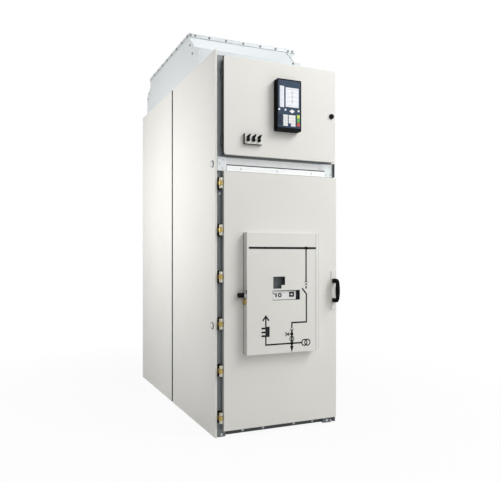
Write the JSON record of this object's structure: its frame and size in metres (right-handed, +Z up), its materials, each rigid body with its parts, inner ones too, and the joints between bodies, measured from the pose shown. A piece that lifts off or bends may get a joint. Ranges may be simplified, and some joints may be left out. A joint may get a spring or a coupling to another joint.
{
  "type": "air-insulated switchgear panel",
  "caption": "Free-standing folded-steel switchgear panel with a hinged main door carrying a mimic control board, a hinged low-voltage door with a relay, and a relief duct on the roof.",
  "frame": {"origin": "middle of the base on the floor", "axes": "+Z up, -Y out of the front with the doors, +X to the right seen from the front"},
  "size_m": [0.837, 1.651, 2.547],
  "materials": {
    "paint": "satin textured powder coat",
    "galvanised": "bright zinc-coated sheet",
    "frame_grey": "satin dark grey",
    "yellow_zinc": "yellow passivated zinc",
    "black_plastic": "fine grained",
    "seal_rubber": "matt",
    "white_plastic": "satin",
    "relay_blue": "satin foil",
    "display": "glossy window"
  },
  "bodies": {
    "cabinet": {"left_end_wall_front": "paint", "left_end_wall_rear": "paint", "right_side_walls": "paint", "rear_walls": "paint", "end_wall_caps": "paint", "floor_plate": "galvanised", "roof_plate": "galvanised", "lv_roof": "galvanised", "lv_floor": "galvanised", "lv_rear_wall": "galvanised", "lv_side_sheets": "galvanised", "cross_rail": "galvanised", "cross_rail_cover": "galvanised", "cross_rail_brackets": "galvanised", "duct_cheeks": "galvanised", "duct_front": "galvanised", "duct_rear": "galvanised", "duct_lid": "galvanised", "base_cross_rails": "frame_grey", "base_side_rails": "frame_grey", "front_posts": "frame_grey", "middle_posts": "frame_grey", "rear_posts": "frame_grey", "rail_end_strip": "frame_grey", "lv_hinge_frame_knuckles": "frame_grey", "hinge_frame_knuckles": "yellow_zinc", "hinge_beds": "black_plastic"},
    "main_door": {"main_door": "paint", "hinge_door_knuckles": "galvanised", "control_board": "paint", "indicator_tray": "frame_grey", "indicator_label": "white_plastic", "handle_plate": "paint", "door_handle": "black_plastic", "board_lock_knob": "black_plastic", "board_lock_cylinder": "yellow_zinc"},
    "lv_door": {"lv_door": "paint", "lv_hinge_door_knuckles": "frame_grey", "lv_door_seal": "seal_rubber", "relay_housing": "black_plastic", "relay_face": "relay_blue", "relay_displays": "display", "relay_keys": "white_plastic", "switch_block": "black_plastic", "switch_levers": "black_plastic", "lv_lock": "black_plastic"}
  },
  "joints": [
    {"name": "main_door_hinge", "type": "hinge", "parent": "cabinet", "child": "main_door", "pos_m": [-0.3785, -0.7635, 0.8], "axis": [0, 0, -1], "range_deg": [0, 110]},
    {"name": "lv_door_hinge", "type": "hinge", "parent": "cabinet", "child": "lv_door", "pos_m": [-0.3635, -0.7485, 1.94], "axis": [0, 0, -1], "range_deg": [0, 90]}
  ]
}
